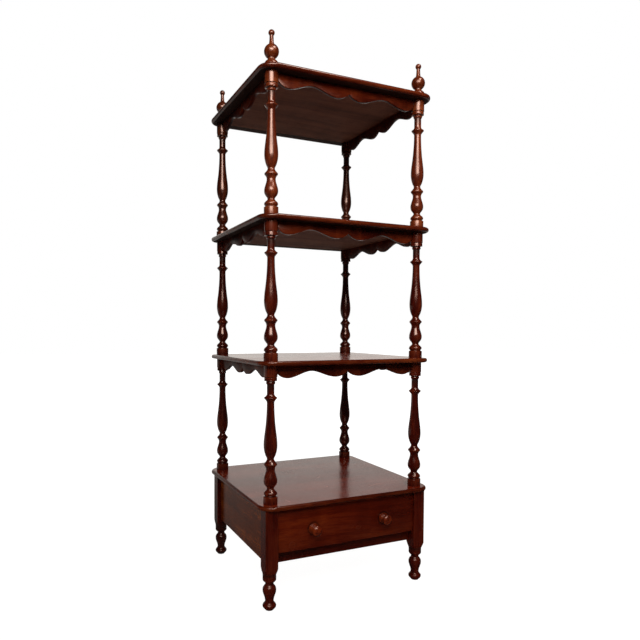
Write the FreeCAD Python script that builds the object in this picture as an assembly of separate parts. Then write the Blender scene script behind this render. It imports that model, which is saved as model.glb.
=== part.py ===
import FreeCAD, Part
import math
import os
from FreeCAD import Vector

# A four-tier etagere in mahogany: three open shelves on turned posts over a case with one drawer.
# Millimetres. Z is up from the floor, -Y is the drawer side, X runs left to right.

# Whole piece
post_spacing_x = 430.0        # between the post axes, left to right
post_spacing_y = 382.0        # between the post axes, front to back
storey_pitch = 353.0          # from one board's top face to the next
case_top_height = 261.5       # top face of the case's board above the floor

# Boards: the case top and the three shelves
board_thick = 12.0
board_overhang = 34.5         # beyond the post axes, all round
board_corner = 40.0           # outline radius at the corners
nose_flat = 0.6               # what is left flat between the two halves of the rounded edge

# Turned posts
foot_radius = 17.8
collar_radius = 16.7
ring_radius = 16.4            # the sharp rings above the waist and over the tapered stem
collar_height = 28.0
spigot_radius = 6.0
spigot_clearance = 0.15
spigot_grip = 16.0            # how far a spigot enters the piece below the board
socket_end_room = 2.0

# Finials on the top shelf
ball_radius = 18.1
finial_neck_height = 20.6     # where the ball leaves its neck
finial_neck_radius = 9.2
finial_stem_radius = 7.6      # where the stem springs from the ball
finial_stem_length = 22.0
tip_radius = 7.7
tip_neck_radius = 4.9

# Aprons under the shelves
apron_thick = 9.0
apron_lobe_depth = 32.5
apron_crest_depth = 16.0
apron_cusp_depth = 18.0
apron_end_depth = 19.0
cope_clearance = 0.3          # between an apron's hollowed end and the collar

# Legs: square block over a turned foot
leg_side = 34.0
leg_arris = 1.0
leg_outset = 3.5              # of the legs' axes outside the posts', both ways
block_foot_height = 88.0      # where the turning starts under the block
block_foot_radius = 16.9
shoulder_height = 20.0        # over which the block's corners are turned away
foot_pad_radius = 17.0
foot_tread_radius = 10.0

# Case between the legs
panel_bottom_height = 111.0
side_panel_thick = 16.0
side_panel_recess = 11.0      # behind the outer face of the legs
back_panel_thick = 12.0
back_panel_recess = 10.0
tenon_thick = 7.0
tenon_length = 12.0
tenon_shoulder = 12.0         # below a tenon
tenon_cover = 4.0             # of leg left between a tenon and the post's socket
joint_clearance = 0.15
rail_bottom_height = 108.5
rail_height = 37.5
rail_thick = 20.0
rail_recess = 27.0            # behind the front face of the legs
runner_width = 20.0
runner_height = 14.0
guide_height = 22.0
kicker_height = 11.0
stop_width = 24.0
stop_height = 20.0
stop_inset = 30.0             # from the drawer's side to the stop
stop_clearance = 0.3

# Drawer
drawer_gap = 1.0              # round the drawer front
drawer_arris = 0.8            # round the edges of its face
drawer_recess = 3.0           # behind the front face of the legs
drawer_lap = 5.0              # how far the front hangs below the rail's top
drawer_run_clearance = 0.3    # over the runners
drawer_depth = 384.0
drawer_front_thick = 18.0
drawer_side_thick = 9.0
drawer_side_drop = 14.0       # from the case top's underside to the top of the sides
drawer_bottom_thick = 6.0
drawer_bottom_rise = 6.0      # under the bottom board
groove_depth = 4.5
lap_thick = 6.0               # of the front that hides the dovetails
tail_count = 3
tail_slope = 1.0 / 7.0
pin_width = 7.0               # narrow face of a full pin
dovetail_clearance = 0.1

# Knobs
knob_spacing = 208.0
knob_height = 190.0
knob_spigot_radius = 5.0
knob_length = 28.0
knob_head_radius = 13.0
knob_base_radius = 13.6
knob_bead_radius = 11.2
knob_neck_radius = 7.4
knob_dome = 8.0               # from the head's widest part to its tip

# Wood screws
screw_radius = 1.8
screw_head_radius = 3.6
screw_head_height = 2.0
screw_slot_width = 0.8
screw_slot_depth = 0.9
screw_clearance = 0.1
top_screw_bite = 7.0          # into the case top
top_screw_inset = 90.0        # from the ends of the kicker
bottom_screw_bite = 12.0      # into the drawer back
bottom_screw_inset = 110.0    # from the drawer's middle

# Derived places
leg_half = leg_side / 2
case_under = case_top_height - board_thick
post_length = storey_pitch - board_thick
leg_x = post_spacing_x / 2 + leg_outset           # axis of a leg from the middle
leg_y = post_spacing_y / 2 + leg_outset
reach_x = leg_x + leg_half                        # outer face of the legs from the middle
reach_y = leg_y + leg_half
inner_x = leg_x - leg_half                        # inner face of the legs
inner_y = leg_y - leg_half
knob_reach = reach_y - drawer_recess + knob_length
board_reach = post_spacing_y / 2 + board_overhang
mid_y = max(0.0, knob_reach - board_reach) / 2    # centres the whole piece, knobs included, on the origin
board_tops = [case_top_height + storey_pitch * step for step in range(4)]
corners = {
    "front_left": (-post_spacing_x / 2, mid_y - post_spacing_y / 2),
    "front_right": (post_spacing_x / 2, mid_y - post_spacing_y / 2),
    "back_left": (-post_spacing_x / 2, mid_y + post_spacing_y / 2),
    "back_right": (post_spacing_x / 2, mid_y + post_spacing_y / 2),
}

os.makedirs("parts", exist_ok=True)


def save(name, shape):
    shape.exportStep("parts/" + name + ".step")


def box(x0, x1, y0, y1, z0, z1):
    return Part.makeBox(x1 - x0, y1 - y0, z1 - z0, Vector(x0, y0, z0))


def rod(radius, x, y, z0, z1):
    return Part.makeCylinder(radius, z1 - z0, Vector(x, y, z0))


def turned(stations, x=0.0, y=0.0, z=0.0):
    # A turning about a vertical axis. Each station is (height, radius, slope), slope being the change
    # of radius per height there; a fourth number is the slope above a sharp edge. Between two
    # stations the outline is a straight line where their slopes agree with it, otherwise a cubic.
    first = stations[0]
    last = stations[-1]
    edges = [Part.LineSegment(Vector(0, 0, first[0]), Vector(first[1], 0, first[0]))]
    for lower, upper in zip(stations, stations[1:]):
        start = Vector(lower[1], 0, lower[0])
        end = Vector(upper[1], 0, upper[0])
        rise = upper[0] - lower[0]
        leaving = lower[-1]
        arriving = upper[2]
        straight = abs(lower[1] + leaving * rise - upper[1]) < 1e-6 and leaving == arriving
        if rise == 0 or straight:
            edges.append(Part.LineSegment(start, end))
            continue
        curve = Part.BezierCurve()
        curve.setPoles([start, start + Vector(leaving * rise / 3, 0, rise / 3),
                        end - Vector(arriving * rise / 3, 0, rise / 3), end])
        edges.append(curve)
    edges.append(Part.LineSegment(Vector(last[1], 0, last[0]), Vector(0, 0, last[0])))
    edges.append(Part.LineSegment(Vector(0, 0, last[0]), Vector(0, 0, first[0])))
    wire = Part.Wire([edge.toShape() for edge in edges])
    solid = Part.Face(wire).revolve(Vector(0, 0, 0), Vector(0, 0, 1), 360)
    solid.translate(Vector(x, y, z))
    return solid


# Boards

def board(top):
    half_x = post_spacing_x / 2 + board_overhang
    half_y = board_reach
    blank = box(-half_x, half_x, mid_y - half_y, mid_y + half_y, top - board_thick, top)
    upright = [edge for edge in blank.Edges
               if abs(edge.Vertexes[0].Z - edge.Vertexes[1].Z) > board_thick / 2]
    slab = blank.makeFillet(board_corner, upright)
    rims = [edge for edge in slab.Edges
            if abs(edge.Vertexes[0].Z - edge.Vertexes[-1].Z) < 1e-6]
    slab = slab.makeFillet((board_thick - nose_flat) / 2, rims)
    for x, y in corners.values():
        slab = slab.cut(rod(spigot_radius + spigot_clearance, x, y, top - board_thick, top))
    return slab


# Turned posts and finials

socket_depth = spigot_grip + socket_end_room


def socket(x, y, top):
    return rod(spigot_radius + spigot_clearance, x, y, top - socket_depth, top)


def spigot(x, y, seat):
    # Passes through the board under the seat and grips the piece below.
    return rod(spigot_radius, x, y, seat - board_thick - spigot_grip, seat)


def lifted(stations, height):
    return [(height + station[0], *station[1:]) for station in stations]


def post(x, y, seat):
    # Heights are from the board it stands on, up to the vase; those of the head are from the
    # collar's foot. The tapered stem between them takes up whatever the storey's height asks for.
    lower_part = [
        (0, foot_radius, 0),
        (18.5, foot_radius, 0, -2.4),
        (20.3, 14.0, 0.2),              # groove over the foot
        (25.5, 17.1, 0),                # base ring
        (30.5, 15.4, -0.9),
        (38.5, 8.8, 0),                 # lower neck
        (46, 13.2, 0.8),
        (58, 17.1, 0),                  # urn
        (86, 11.0, 0),                  # waist
        (96.8, ring_radius, 1.1, 0),    # lower ring
        (99.8, ring_radius, 0, -1.0),
        (111.5, 8.8, 0),                # neck under the vase
        (120, 12.3, 0.38),
        (145.5, 17.0, 0),               # vase, at its widest
    ]
    head = lifted([
        (-62.5, 9.3, 0),
        (-51.7, ring_radius, 0.8, 0),   # upper ring, a thin sharp edge
        (-50.3, ring_radius, 0, -1.7),
        (-41, 9.2, 0),
        (-18.5, 9.2, 0, 1.0),
        (-14.6, 11.6, 0),               # small bead
        (-11.8, 10.8, -0.3),
        (-10.5, 11.0, 0.4, 3.5),
        (-9, 16.25, 3.5, -0.5),         # disc, undercut to a sharp edge
        (-6.5, 15.8, 0),
        (-1.5, 15.8, 0, -2.0),
        (-0.8, 14.8, 0),                # groove under the collar
        (0, 14.8, 0),
        (0, collar_radius, 0),
        (collar_height, collar_radius, 0),
    ], post_length - collar_height)
    stem_foot = lower_part[-1][0]
    stem = head[0][0] - stem_foot
    taper = [
        (stem_foot + stem * 0.45, 12.3, -0.10),
    ]
    solid = turned(lower_part + taper + head, x, y, seat)
    solid = solid.fuse(spigot(x, y, seat)).removeSplitter()
    return solid.cut(socket(x, y, seat + post_length))


def finial(x, y, seat):
    # A flared foot, a ball on a neck, then a slim stem with a small ball on its tip.
    ball_centre = finial_neck_height + math.sqrt(ball_radius ** 2 - finial_neck_radius ** 2)
    stem_foot = ball_centre + math.sqrt(ball_radius ** 2 - finial_stem_radius ** 2)
    tip_neck = stem_foot + finial_stem_length
    tip_centre = tip_neck + math.sqrt(tip_radius ** 2 - tip_neck_radius ** 2)
    foot = turned([
        (0, 17.3, 0.3),
        (4, 17.9, 0),
        (9, 16.6, -0.5, -0.3),
        (12.5, 14.5, -0.9),
        (16, 10.3, -1.1),
        (18, finial_neck_radius, 0),
        (ball_centre, finial_neck_radius, 0),
    ], x, y, seat)
    stem = turned([
        (ball_centre, finial_stem_radius, 0),
        (stem_foot, finial_stem_radius, 0, -0.7),
        (stem_foot + finial_stem_length * 0.25, 5.7, -0.1),
        (tip_neck, tip_neck_radius, 0),
        (tip_centre, tip_neck_radius, 0),
    ], x, y, seat)
    ball = Part.makeSphere(ball_radius, Vector(x, y, seat + ball_centre))
    tip = Part.makeSphere(tip_radius, Vector(x, y, seat + tip_centre))
    return foot.fuse([ball, stem, tip, spigot(x, y, seat)]).removeSplitter()


# Aprons: one half is drawn from the middle cusp to the post, then mirrored

def apron_blank(half_clear, half_length):
    # Outline stations from the middle: share of the clear half length, depth, slope before and after.
    # Past the collar's face the plate runs on level to the post axis, and is coped later.
    stations = [
        (0.0, apron_cusp_depth, 0, 0.95),
        (0.18, apron_lobe_depth, 0, 0),
        (0.53, apron_crest_depth, 0, 0),
        (0.86, apron_lobe_depth, 0, 0),
        (1.0, apron_end_depth, -1.1, 0),
    ]
    edges = []
    for side in (1, -1):
        for (s0, d0, _, slope0), (s1, d1, slope1, _) in zip(stations, stations[1:]):
            start = Vector(side * s0 * half_clear, 0, -d0)
            end = Vector(side * s1 * half_clear, 0, -d1)
            third = (s1 - s0) * half_clear / 3
            curve = Part.BezierCurve()
            curve.setPoles([start, start + Vector(side * third, 0, -slope0 * third),
                            end - Vector(side * third, 0, -slope1 * third), end])
            edges.append(curve)
        foot = Vector(side * half_length, 0, -apron_end_depth)
        edges.append(Part.LineSegment(end, foot))
        edges.append(Part.LineSegment(foot, Vector(foot.x, 0, 0)))
    edges.append(Part.LineSegment(Vector(-half_length, 0, 0), Vector(half_length, 0, 0)))
    wire = Part.Wire(Part.__sortEdges__([edge.toShape() for edge in edges]))
    plate = Part.Face(wire).extrude(Vector(0, apron_thick, 0))
    plate.translate(Vector(0, -apron_thick / 2, 0))
    return plate


def apron(side, top):
    # Hangs on the post axes' plane under the board, its ends coped over the collars.
    across = {"front": post_spacing_x, "left": post_spacing_y, "right": post_spacing_y}[side]
    plate = apron_blank(across / 2 - collar_radius, across / 2)
    if side == "front":
        plate.translate(Vector(0, mid_y - post_spacing_y / 2, top - board_thick))
    else:
        plate.rotate(Vector(0, 0, 0), Vector(0, 0, 1), 90)
        offset = post_spacing_x / 2 if side == "right" else -post_spacing_x / 2
        plate.translate(Vector(offset, mid_y, top - board_thick))
    for x, y in corners.values():
        collar = rod(collar_radius + cope_clearance, x, y, top - post_length, top - board_thick)
        plate = plate.cut(collar)
    return plate


# Legs and case

def turned_foot(x, y):
    return turned([
        (0, foot_tread_radius, 0.5),
        (4.9, 14.4, 0.9),
        (10.8, foot_pad_radius, 0),         # pad
        (16, 14.1, -1.0),
        (22.5, 10.8, 0),                    # ankle
        (34.7, 13.2, 0.36),
        (49, 16.9, 0),                      # urn
        (57.5, 14.9, -0.65),
        (65.5, 10.1, 0),                    # neck under the block
        (75, block_foot_radius, 0.2, 0),
        (block_foot_height, block_foot_radius, 0),
    ], x, y)


def tenon_room(limits):
    # A mortise through the legs for a panel's tenons, a little larger than they are.
    x0, y0, z0, x1, y1, z1 = limits
    gap = joint_clearance
    return box(x0 - gap, x1 + gap, y0 - gap, y1 + gap, z0 - gap, z1 + gap)


tenon_top = case_under - socket_depth - tenon_cover


def side_panel_limits(sign):
    outer = sign * (reach_x - side_panel_recess)
    inner = sign * (reach_x - side_panel_recess - side_panel_thick)
    return min(outer, inner), max(outer, inner)


def side_tenon(sign):
    x0, x1 = side_panel_limits(sign)
    middle = (x0 + x1) / 2
    return [middle - tenon_thick / 2, mid_y - inner_y - tenon_length, panel_bottom_height + tenon_shoulder,
            middle + tenon_thick / 2, mid_y + inner_y + tenon_length, tenon_top]


def back_tenon():
    middle = mid_y + reach_y - back_panel_recess - back_panel_thick / 2
    return [-inner_x - tenon_length, middle - tenon_thick / 2, panel_bottom_height + tenon_shoulder,
            inner_x + tenon_length, middle + tenon_thick / 2, tenon_top]


def tenon(limits):
    x0, y0, z0, x1, y1, z1 = limits
    return box(x0, x1, y0, y1, z0, z1)


def leg(post_x, post_y):
    # Stands a little outside the post above it, whose spigot its socket takes.
    x = math.copysign(leg_x, post_x)
    y = mid_y + math.copysign(leg_y, post_y - mid_y)
    block = box(x - leg_half, x + leg_half, y - leg_half, y + leg_half, block_foot_height, case_under)
    upright = [edge for edge in block.Edges
               if abs(edge.Vertexes[0].Z - edge.Vertexes[1].Z) > leg_side]
    block = block.makeFillet(leg_arris, upright)
    over_corner = leg_half * math.sqrt(2) + 1
    shoulder_top = block_foot_height + shoulder_height
    shoulder = turned([
        (block_foot_height, block_foot_radius, 0.45),
        (shoulder_top, over_corner, 0.33, 0),
        (case_under, over_corner, 0),
    ], x, y)
    solid = block.common(shoulder).fuse(turned_foot(x, y)).removeSplitter()
    solid = solid.cut(socket(post_x, post_y, case_under))
    for limits in (side_tenon(-1), side_tenon(1), back_tenon()):
        solid = solid.cut(tenon_room(limits))
    return solid


def side_panel(sign):
    x0, x1 = side_panel_limits(sign)
    panel = box(x0, x1, mid_y - inner_y, mid_y + inner_y, panel_bottom_height, case_under)
    return panel.fuse(tenon(side_tenon(sign))).removeSplitter()


def back_panel():
    y1 = mid_y + reach_y - back_panel_recess
    panel = box(-inner_x, inner_x, y1 - back_panel_thick, y1, panel_bottom_height, case_under)
    return panel.fuse(tenon(back_tenon())).removeSplitter()


rail_top = rail_bottom_height + rail_height
rail_front = mid_y - reach_y + rail_recess
rail_back = rail_front + rail_thick
panel_inside = reach_x - side_panel_recess - side_panel_thick
back_inside = mid_y + reach_y - back_panel_recess - back_panel_thick
leg_back = mid_y - inner_y                      # rear face of the front legs
leg_front = mid_y + inner_y                     # front face of the back legs


def front_rail():
    # Between the front legs, with ears behind them that are glued to the side panels.
    between = box(-inner_x, inner_x, rail_front, rail_back, rail_bottom_height, rail_top)
    behind = box(-panel_inside, panel_inside, leg_back, rail_back, rail_bottom_height, rail_top)
    return between.fuse(behind).removeSplitter()


def case_strip(sign, width, front, z0, z1):
    # A strip along the inside of a side panel, ending against the back leg.
    wall = sign * panel_inside
    edge = sign * (panel_inside - width)
    return box(min(wall, edge), max(wall, edge), front, leg_front, z0, z1)


def runner(sign):
    return case_strip(sign, runner_width, rail_back, rail_top - runner_height, rail_top)


def guide(sign):
    # Brings the side panel level with the legs' inner faces, so that the drawer runs straight.
    return case_strip(sign, panel_inside - inner_x, leg_back, rail_top, rail_top + guide_height)


def screw(x, y, head_z, bite):
    # A slotted countersunk screw driven upwards from head_z.
    shank = rod(screw_radius, x, y, head_z + screw_head_height, head_z + bite)
    head = Part.makeCone(screw_head_radius, screw_radius, screw_head_height, Vector(x, y, head_z))
    slot = box(x - screw_head_radius, x + screw_head_radius, y - screw_slot_width / 2,
               y + screw_slot_width / 2, head_z, head_z + screw_slot_depth)
    return head.fuse(shank).removeSplitter().cut(slot)


def screw_hole(x, y, head_z, bite):
    gap = screw_clearance
    shank = rod(screw_radius + gap, x, y, head_z, head_z + bite + gap)
    head = Part.makeCone(screw_head_radius + gap, screw_radius + gap, screw_head_height + gap,
                         Vector(x, y, head_z))
    return head.fuse(shank)


top_screw_length = kicker_height + top_screw_bite
top_screw_places = [
    (sign * (panel_inside - runner_width / 2), y)
    for sign in (-1, 1)
    for y in (rail_back + top_screw_inset, leg_front - top_screw_inset)
]


def kicker(sign):
    # Glued and screwed up under the case top, it keeps the open drawer from tipping.
    strip = case_strip(sign, runner_width, rail_back, case_under - kicker_height, case_under)
    for x, y in top_screw_places:
        strip = strip.cut(screw_hole(x, y, case_under - kicker_height, top_screw_length))
    return strip


# Drawer: sides dovetailed into the front and back, the bottom in grooves

drawer_half = inner_x - drawer_gap
drawer_face = mid_y - reach_y + drawer_recess
front_back = drawer_face + drawer_front_thick
drawer_end = drawer_face + drawer_depth
back_front = drawer_end - drawer_side_thick
side_bottom = rail_top + drawer_run_clearance
side_top = case_under - drawer_side_drop
bottom_under = side_bottom + drawer_bottom_rise
bottom_over = bottom_under + drawer_bottom_thick


def tails(sign, root, depth, low, high, grow=0.0):
    # The tails at one end of a drawer side, from root for depth along Y (negative: forwards).
    pitch = (high - low) / tail_count
    x0 = drawer_half - drawer_side_thick if sign > 0 else -drawer_half
    solids = []
    for number in range(tail_count):
        foot = low + pitch * number + pin_width / 2 + abs(depth) * tail_slope
        head = low + pitch * (number + 1) - pin_width / 2 - abs(depth) * tail_slope
        flare = abs(depth) * tail_slope
        tip = root + depth
        if grow:
            tip += math.copysign(grow, depth)
        outline = [
            Vector(x0 - grow, root, foot - grow),
            Vector(x0 - grow, tip, foot - flare - grow),
            Vector(x0 - grow, tip, head + flare + grow),
            Vector(x0 - grow, root, head + grow),
        ]
        face = Part.Face(Part.makePolygon(outline + outline[:1]))
        solids.append(face.extrude(Vector(drawer_side_thick + 2 * grow, 0, 0)))
    return solids


front_tail_depth = -(drawer_front_thick - lap_thick)
back_tail_low = bottom_over


def drawer_side(sign):
    outer = sign * drawer_half
    inner = sign * (drawer_half - drawer_side_thick)
    board_x = (min(outer, inner), max(outer, inner))
    side = box(board_x[0], board_x[1], front_back, back_front, side_bottom, side_top)
    side = side.fuse(box(board_x[0], board_x[1], back_front, drawer_end, side_bottom, bottom_over))
    side = side.fuse(tails(sign, front_back, front_tail_depth, side_bottom, side_top))
    side = side.fuse(tails(sign, back_front, drawer_side_thick, back_tail_low, side_top))
    groove = box(-groove_wall, groove_wall, drawer_face, drawer_end,
                 bottom_under - joint_clearance, bottom_over + joint_clearance)
    return side.removeSplitter().cut(groove)


groove_wall = drawer_half - drawer_side_thick + groove_depth
front_groove = front_back - groove_depth


def drawer_front():
    front = box(-drawer_half, drawer_half, drawer_face, front_back,
                rail_top - drawer_lap, case_under - drawer_gap)
    face_edges = [edge for edge in front.Edges
                  if all(abs(vertex.Y - drawer_face) < 1e-6 for vertex in edge.Vertexes)]
    front = front.makeFillet(drawer_arris, face_edges)
    for sign in (-1, 1):
        for tail in tails(sign, front_back, front_tail_depth, side_bottom, side_top, dovetail_clearance):
            front = front.cut(tail)
        front = front.cut(knob_hole(sign))
    groove = box(-groove_wall, groove_wall, front_groove, front_back,
                 bottom_under - joint_clearance, bottom_over + joint_clearance)
    return front.cut(groove)


def drawer_back():
    back = box(-drawer_half, drawer_half, back_front, drawer_end, bottom_over, side_top)
    for sign in (-1, 1):
        for tail in tails(sign, back_front, drawer_side_thick, back_tail_low, side_top, dovetail_clearance):
            back = back.cut(tail)
    for x, y in bottom_screw_places:
        back = back.cut(screw_hole(x, y, bottom_under, bottom_screw_length))
    return back


def drawer_bottom():
    half = groove_wall - joint_clearance
    bottom = box(-half, half, front_groove + joint_clearance, drawer_end, bottom_under, bottom_over)
    for x, y in bottom_screw_places:
        bottom = bottom.cut(screw_hole(x, y, bottom_under, bottom_screw_length))
    return bottom


bottom_screw_length = drawer_bottom_thick + bottom_screw_bite
bottom_screw_places = [
    (sign * bottom_screw_inset, back_front + drawer_side_thick / 2) for sign in (-1, 1)
]


def drawer_stop(sign):
    # A block on the back panel that the drawer's back comes to rest against.
    near = sign * (drawer_half - drawer_side_thick - stop_inset)
    far = near - sign * stop_width
    return box(min(near, far), max(near, far), drawer_end + stop_clearance, back_inside,
               bottom_over, bottom_over + stop_height)


def knob_axis_turn(solid, x):
    solid.rotate(Vector(0, 0, 0), Vector(1, 0, 0), 90)
    solid.translate(Vector(x, drawer_face, knob_height))
    return solid


def knob_hole(sign):
    hole = rod(knob_spigot_radius + spigot_clearance, 0, 0, -drawer_front_thick, 0)
    return knob_axis_turn(hole, sign * knob_spacing / 2)


def knob(sign):
    # Heights run outwards from the drawer front; the domed head ends in a small flat.
    rim = knob_length - knob_dome
    shape = turned([
        (0, knob_base_radius, 0),
        (1.8, knob_base_radius, 0, -1.6),
        (3.6, 10.2, 0, 0.9),
        (5.4, knob_bead_radius, 0),          # bead
        (12.5, knob_neck_radius, 0),         # neck
        (rim, knob_head_radius, 0.9),
        (rim + 2.2, knob_head_radius, -0.6),
        (rim + knob_dome * 0.75, knob_head_radius * 0.66, -1.8),
        (knob_length, 2.4, -4.5),
    ])
    shape = shape.fuse(rod(knob_spigot_radius, 0, 0, -drawer_front_thick, 0)).removeSplitter()
    return knob_axis_turn(shape, sign * knob_spacing / 2)


# Build the frame

boards = ["case_top", "middle_shelf", "upper_shelf", "top_shelf"]
storeys = ["lower", "middle", "upper"]
sides = {"left": -1, "right": 1}

for name, top in zip(boards, board_tops):
    shape = board(top)
    if name == "case_top":
        for x, y in top_screw_places:
            shape = shape.cut(screw_hole(x, y, case_under - kicker_height, top_screw_length))
    save(name, shape)

for corner, (x, y) in corners.items():
    save("leg_" + corner, leg(x, y))
    save("finial_" + corner, finial(x, y, board_tops[3]))
    for storey, seat in zip(storeys, board_tops):
        save(storey + "_post_" + corner, post(x, y, seat))

for name, top in list(zip(boards, board_tops))[1:]:
    for side in ("front", "left", "right"):
        save(name + "_" + side + "_apron", apron(side, top))

save("back_panel", back_panel())
save("front_rail", front_rail())
for side, sign in sides.items():
    save(side + "_side_panel", side_panel(sign))
    save(side + "_drawer_runner", runner(sign))
    save(side + "_drawer_guide", guide(sign))
    save(side + "_drawer_kicker", kicker(sign))
save("drawer_stops", Part.makeCompound([drawer_stop(sign) for sign in sides.values()]))
save("top_screws", Part.makeCompound([
    screw(x, y, case_under - kicker_height, top_screw_length) for x, y in top_screw_places
]))

# Build the drawer

save("drawer_front", drawer_front())
save("drawer_back", drawer_back())
save("drawer_bottom", drawer_bottom())
for side, sign in sides.items():
    save("drawer_" + side + "_side", drawer_side(sign))
    save(side + "_knob", knob(sign))
save("drawer_bottom_screws", Part.makeCompound([
    screw(x, y, bottom_under, bottom_screw_length) for x, y in bottom_screw_places
]))
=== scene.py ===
import bmesh
import bpy
import math
from mathutils import Matrix, Vector


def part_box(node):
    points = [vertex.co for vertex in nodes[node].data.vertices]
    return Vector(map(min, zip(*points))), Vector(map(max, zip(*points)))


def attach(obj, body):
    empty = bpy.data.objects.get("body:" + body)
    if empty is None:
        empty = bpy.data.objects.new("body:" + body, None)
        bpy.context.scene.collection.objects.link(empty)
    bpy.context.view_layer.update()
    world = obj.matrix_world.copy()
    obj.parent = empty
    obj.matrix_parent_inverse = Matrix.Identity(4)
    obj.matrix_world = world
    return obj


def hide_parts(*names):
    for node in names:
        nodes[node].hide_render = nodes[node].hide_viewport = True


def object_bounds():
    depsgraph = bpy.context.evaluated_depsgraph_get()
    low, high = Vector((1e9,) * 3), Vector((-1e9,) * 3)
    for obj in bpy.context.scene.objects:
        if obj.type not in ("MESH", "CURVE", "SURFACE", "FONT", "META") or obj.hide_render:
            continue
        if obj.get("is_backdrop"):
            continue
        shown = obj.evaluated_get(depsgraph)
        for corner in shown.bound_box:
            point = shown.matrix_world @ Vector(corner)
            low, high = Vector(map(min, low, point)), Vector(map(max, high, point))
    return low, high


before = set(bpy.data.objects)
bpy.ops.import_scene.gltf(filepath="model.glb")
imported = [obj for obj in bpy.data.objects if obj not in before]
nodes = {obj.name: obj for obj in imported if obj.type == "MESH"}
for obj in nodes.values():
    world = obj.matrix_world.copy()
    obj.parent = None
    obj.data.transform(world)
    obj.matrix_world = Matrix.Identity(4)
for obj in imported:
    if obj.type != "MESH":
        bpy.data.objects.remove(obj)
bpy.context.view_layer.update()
print("frame loaded with", len(nodes), "nodes")

mm = 0.001
frameBody = "frame"
drawerBody = "drawer"
cornerNames = ["front_left", "front_right", "back_left", "back_right"]
storeyNames = ["lower", "middle", "upper"]
boardNames = ["case_top", "middle_shelf", "upper_shelf", "top_shelf"]


def middleOf(node):
    low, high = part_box(node)
    return (low + high) / 2


def cornerGrid(prefix):
    # Width, depth and middle of the four places at which pieces with this name stand.
    near, far = middleOf(prefix + "front_left"), middleOf(prefix + "back_right")
    return {"Width": far.x - near.x, "Depth": far.y - near.y, "middleY": (near.y + far.y) / 2}


postGrid = cornerGrid("lower_post_")
legGrid = cornerGrid("leg_")
boardTops = [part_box(name)[1].z for name in boardNames]
boardThick = boardTops[0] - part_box("case_top")[0].z


# Camera

cameraView = {
    "place": (-0.7526, -1.4721, 0.6896),
    "heading": -23.952,
    "pitch": -1.932,
    "roll": 0.189,
    "lens": 32.134,
    "sensorWidth": 36,
    "shiftX": 0.0571,
    "shiftY": 0.0456,
}


def makeCamera(view):
    data = bpy.data.cameras.new("studioCamera")
    data.lens = view["lens"]
    data.sensor_width = view["sensorWidth"]
    data.shift_x = view["shiftX"]
    data.shift_y = view["shiftY"]
    heading, pitch, roll = (math.radians(view[key]) for key in ("heading", "pitch", "roll"))
    level = Vector((-math.sin(heading), math.cos(heading), 0))
    up = Vector((0, 0, 1))
    side = level.cross(up)
    ahead = level * math.cos(pitch) + up * math.sin(pitch)
    above = side.cross(ahead)
    right = side * math.cos(roll) + above * math.sin(roll)
    top = above * math.cos(roll) - side * math.sin(roll)
    turn = Matrix((right, top, -ahead)).transposed().to_4x4()
    camera = bpy.data.objects.new("studioCamera", data)
    camera.matrix_world = Matrix.Translation(view["place"]) @ turn
    bpy.context.scene.collection.objects.link(camera)
    bpy.context.scene.camera = camera


makeCamera(cameraView)
bpy.context.scene.view_settings.view_transform = "Standard"
print("camera placed")


# Shader building blocks

def addNode(tree, kind, inputs=None, **settings):
    made = tree.nodes.new(kind)
    for name, value in settings.items():
        setattr(made, name, value)
    for name, value in (inputs or {}).items():
        if isinstance(value, bpy.types.NodeSocket):
            tree.links.new(value, made.inputs[name])
        else:
            made.inputs[name].default_value = value
    return made


def calc(tree, operation, first, second=0.0, third=0.0, clamp=False):
    return addNode(tree, "ShaderNodeMath", {0: first, 1: second, 2: third},
                   operation=operation, use_clamp=clamp).outputs[0]


def blendColour(tree, share, first, second, how="MIX"):
    made = addNode(tree, "ShaderNodeMix", data_type="RGBA", blend_type=how)
    for place, value in ((0, share), (6, first), (7, second)):
        if isinstance(value, bpy.types.NodeSocket):
            tree.links.new(value, made.inputs[place])
        else:
            made.inputs[place].default_value = value
    return made.outputs[2]


def rescale(tree, value, fromLow, fromHigh, toLow=0.0, toHigh=1.0):
    return addNode(tree, "ShaderNodeMapRange", {
        "Value": value, "From Min": fromLow, "From Max": fromHigh, "To Min": toLow, "To Max": toHigh,
    }).outputs[0]


def stretchedNoise(tree, vector, stretch, scale, detail, roughness=0.55):
    placed = addNode(tree, "ShaderNodeMapping", {"Vector": vector, "Scale": stretch})
    return addNode(tree, "ShaderNodeTexNoise", {
        "Vector": placed.outputs[0], "Scale": scale, "Detail": detail, "Roughness": roughness,
    }).outputs["Fac"]


def newGroup(name, inputs, outputs):
    group = bpy.data.node_groups.new(name, "ShaderNodeTree")
    for label, kind, value in inputs:
        socket = group.interface.new_socket(label, in_out="INPUT", socket_type=kind)
        if value is not None:
            socket.default_value = value
    for label, kind in outputs:
        group.interface.new_socket(label, in_out="OUTPUT", socket_type=kind)
    return group, group.nodes.new("NodeGroupInput"), group.nodes.new("NodeGroupOutput")


# Grain: the vector comes in with the wood's length along X

grainShape = {
    "driftScale": 3.0,
    "drift": (0.0, 0.05, 0.05),
    "bandStretch": (0.10, 1, 1),
    "streakStretch": (0.035, 1, 1),
    "poreStretch": (0.05, 1, 1),
    "poreScale": 1500.0,
    "mottleStretch": (1.0, 0.3, 0.3),
    "mottleScale": 26.0,
    "bandShare": 0.62,
    "streakShare": 0.38,
    "mottleShare": 0.16,
    "deepToMiddle": (0.34, 0.52),
    "middleToLight": (0.50, 0.70),
    "poreOpening": (0.60, 0.70),
    "poreColour": (0.006, 0.002, 0.0015, 1),
}


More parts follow.
